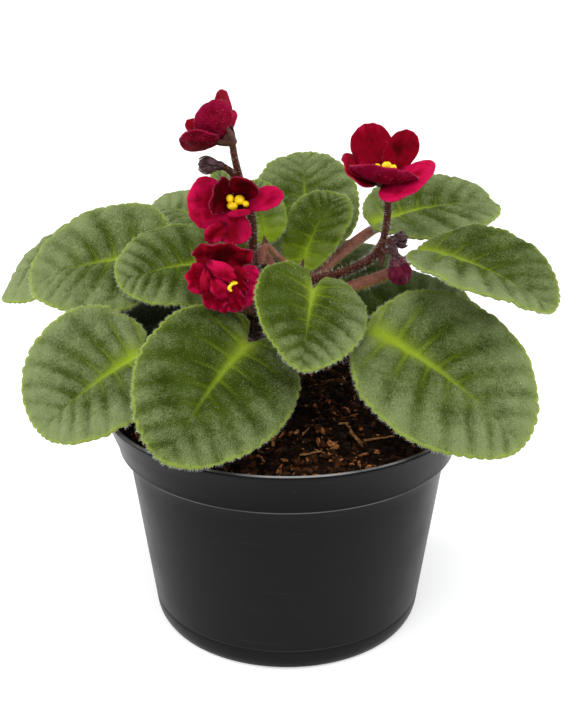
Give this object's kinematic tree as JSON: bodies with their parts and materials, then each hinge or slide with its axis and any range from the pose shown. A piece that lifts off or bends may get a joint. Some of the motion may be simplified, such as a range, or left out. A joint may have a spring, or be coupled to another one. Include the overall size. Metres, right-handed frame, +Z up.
{
  "type": "potted african violet",
  "caption": "African violet in a round plastic pot: a rosette of hairy scalloped leaves, crimson flowers and buds on stalks, in potting soil.",
  "frame": {"origin": "middle of the pot's flat underside, where it rests", "axes": "+Z up along the pot's axis, -Y towards the viewer of the picture, +X to the viewer's right"},
  "size_m": [0.1812, 0.1502, 0.175],
  "materials": {
    "pot": "satin",
    "soil": "matte",
    "stem": "satin",
    "leaf": "matte",
    "petal": "matte",
    "anther": "satin",
    "bud": "matte"
  },
  "bodies": {
    "root": {"pot": "pot", "soil": "soil", "crown_and_petioles": "stem", "leaf_front_left": "leaf", "leaf_front_right": "leaf", "leaf_centre_heart": "leaf", "leaf_left_low": "leaf", "leaf_left_high": "leaf", "leaf_left_near": "leaf", "leaf_far_left": "leaf", "leaf_back_left": "leaf", "leaf_young_left": "leaf", "leaf_young_right": "leaf", "leaf_young_behind": "leaf", "leaf_back": "leaf", "leaf_back_right": "leaf", "leaf_right_high": "leaf", "leaf_right_shaded": "leaf", "leaf_low_back": "leaf", "leaf_low_back_right": "leaf", "leaf_low_back_left": "leaf", "flower_stalk_left": "stem", "flower_stalk_right": "stem", "flower_stalk_low": "stem", "flower_right_petals": "petal", "flower_right_anthers": "anther", "flower_middle_petals": "petal", "flower_middle_anthers": "anther", "flower_low_petals": "petal", "flower_low_anthers": "anther", "flower_top_petals": "petal", "flower_top_anthers": "anther", "bud_dark_left": "bud", "bud_crimson_hanging": "bud", "bud_dark_right": "bud"}
  },
  "joints": []
}
